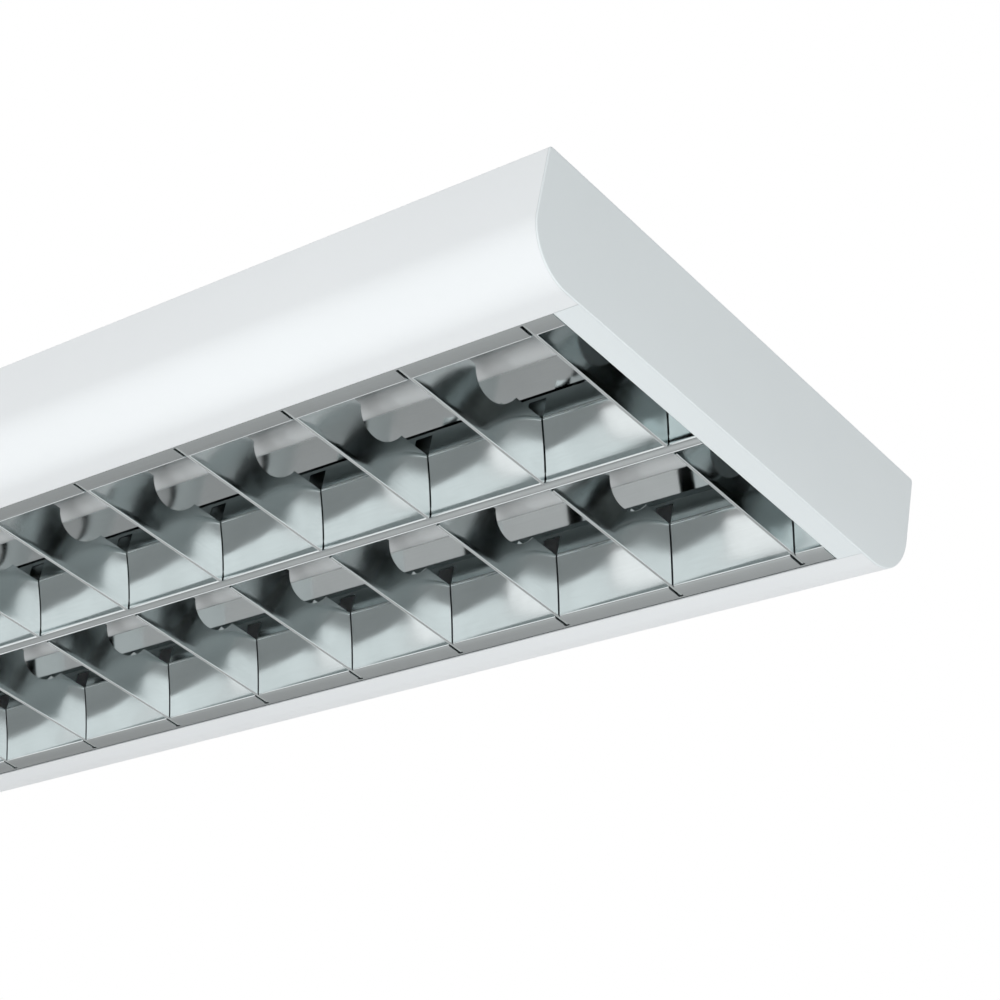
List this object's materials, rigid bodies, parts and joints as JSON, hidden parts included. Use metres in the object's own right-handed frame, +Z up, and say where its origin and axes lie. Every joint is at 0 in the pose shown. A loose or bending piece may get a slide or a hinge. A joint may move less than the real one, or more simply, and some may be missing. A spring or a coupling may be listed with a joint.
{
  "type": "surface-mounted twin-lamp louvre ceiling light",
  "caption": "Long white surface-mounted ceiling light: folded steel housing, two tubular lamps, mirror parabolic louvre hinged along one side for lamp access.",
  "frame": {"origin": "centre of the roof face that lies against the ceiling", "axes": "+X along the lamps, +Y from the catch side of the louvre to its hinge side, +Z up into the ceiling"},
  "size_m": [1.2, 0.3, 0.064],
  "materials": {
    "housing_white": "satin white powder coat on folded sheet steel",
    "cap_white": "satin white powder coat on sheet steel",
    "mirror_aluminium": "bright anodised specular aluminium sheet",
    "tray_aluminium": "specular aluminium sheet above the lamps",
    "lamp_glass": "clear glass with a white phosphor lining",
    "lamp_cap": "pressed aluminium lamp cap",
    "contact_brass": "bare brass contact pins",
    "holder_plastic": "white moulded polycarbonate",
    "rotor_plastic": "white moulded rotor",
    "bracket_zinc": "zinc-plated sheet steel",
    "spring_steel": "bare spring steel",
    "pin_steel": "zinc-plated steel pin",
    "ballast_case": "white lacquered sheet steel case",
    "connector_plastic": "pale grey push-in connector block",
    "terminal_plastic": "white moulded terminal block",
    "screw_steel": "zinc-plated screw",
    "nut_steel": "zinc-plated stud and nut",
    "grommet_rubber": "black moulded rubber"
  },
  "bodies": {
    "housing": {"ballast_case": "ballast_case", "ballast_connectors": "connector_plastic", "cable_grommet": "grommet_rubber", "catch_bracket_left": "bracket_zinc", "catch_bracket_right": "bracket_zinc", "end_cap_left": "cap_white", "end_cap_right": "cap_white", "hex_nuts": "nut_steel", "hinge_bracket_left": "bracket_zinc", "hinge_bracket_right": "bracket_zinc", "holder_bracket_left": "bracket_zinc", "holder_bracket_right": "bracket_zinc", "housing_canopy": "housing_white", "lampholder_front_left": "holder_plastic", "lampholder_front_right": "holder_plastic", "lampholder_rear_left": "holder_plastic", "lampholder_rear_right": "holder_plastic", "reflector_tray": "tray_aluminium", "spring_clip_left": "spring_steel", "spring_clip_right": "spring_steel", "terminal_block": "terminal_plastic", "terminal_screws": "screw_steel", "weld_studs": "nut_steel"},
    "louvre": {"catch_pins": "pin_steel", "centre_reflector": "mirror_aluminium", "cross_blade_01": "mirror_aluminium", "cross_blade_02": "mirror_aluminium", "cross_blade_03": "mirror_aluminium", "cross_blade_04": "mirror_aluminium", "cross_blade_05": "mirror_aluminium", "cross_blade_06": "mirror_aluminium", "cross_blade_07": "mirror_aluminium", "cross_blade_08": "mirror_aluminium", "cross_blade_09": "mirror_aluminium", "cross_blade_10": "mirror_aluminium", "cross_blade_11": "mirror_aluminium", "cross_blade_12": "mirror_aluminium", "cross_blade_13": "mirror_aluminium", "cross_blade_14": "mirror_aluminium", "cross_blade_15": "mirror_aluminium", "cross_blade_16": "mirror_aluminium", "end_reflector_left": "mirror_aluminium", "end_reflector_right": "mirror_aluminium", "hinge_pins": "pin_steel", "side_reflector_front": "mirror_aluminium", "side_reflector_rear": "mirror_aluminium"},
    "lamp_front": {"lamp_front_caps": "lamp_cap", "lamp_front_pins": "contact_brass", "lamp_front_tube": "lamp_glass", "rotor_front_left": "rotor_plastic", "rotor_front_right": "rotor_plastic"},
    "lamp_rear": {"lamp_rear_caps": "lamp_cap", "lamp_rear_pins": "contact_brass", "lamp_rear_tube": "lamp_glass", "rotor_rear_left": "rotor_plastic", "rotor_rear_right": "rotor_plastic"}
  },
  "joints": [
    {"name": "louvre_hinge", "type": "hinge", "parent": "housing", "child": "louvre", "pos_m": [0, 0.1102, -0.0596], "axis": [1, 0, 0], "range_deg": [0, 90]},
    {"name": "lamp_front_turn", "type": "hinge", "parent": "housing", "child": "lamp_front", "pos_m": [0, -0.0531, -0.0196], "axis": [1, 0, 0], "range_deg": [0, 90]},
    {"name": "lamp_rear_turn", "type": "hinge", "parent": "housing", "child": "lamp_rear", "pos_m": [0, 0.0531, -0.0196], "axis": [1, 0, 0], "range_deg": [0, 90]}
  ]
}
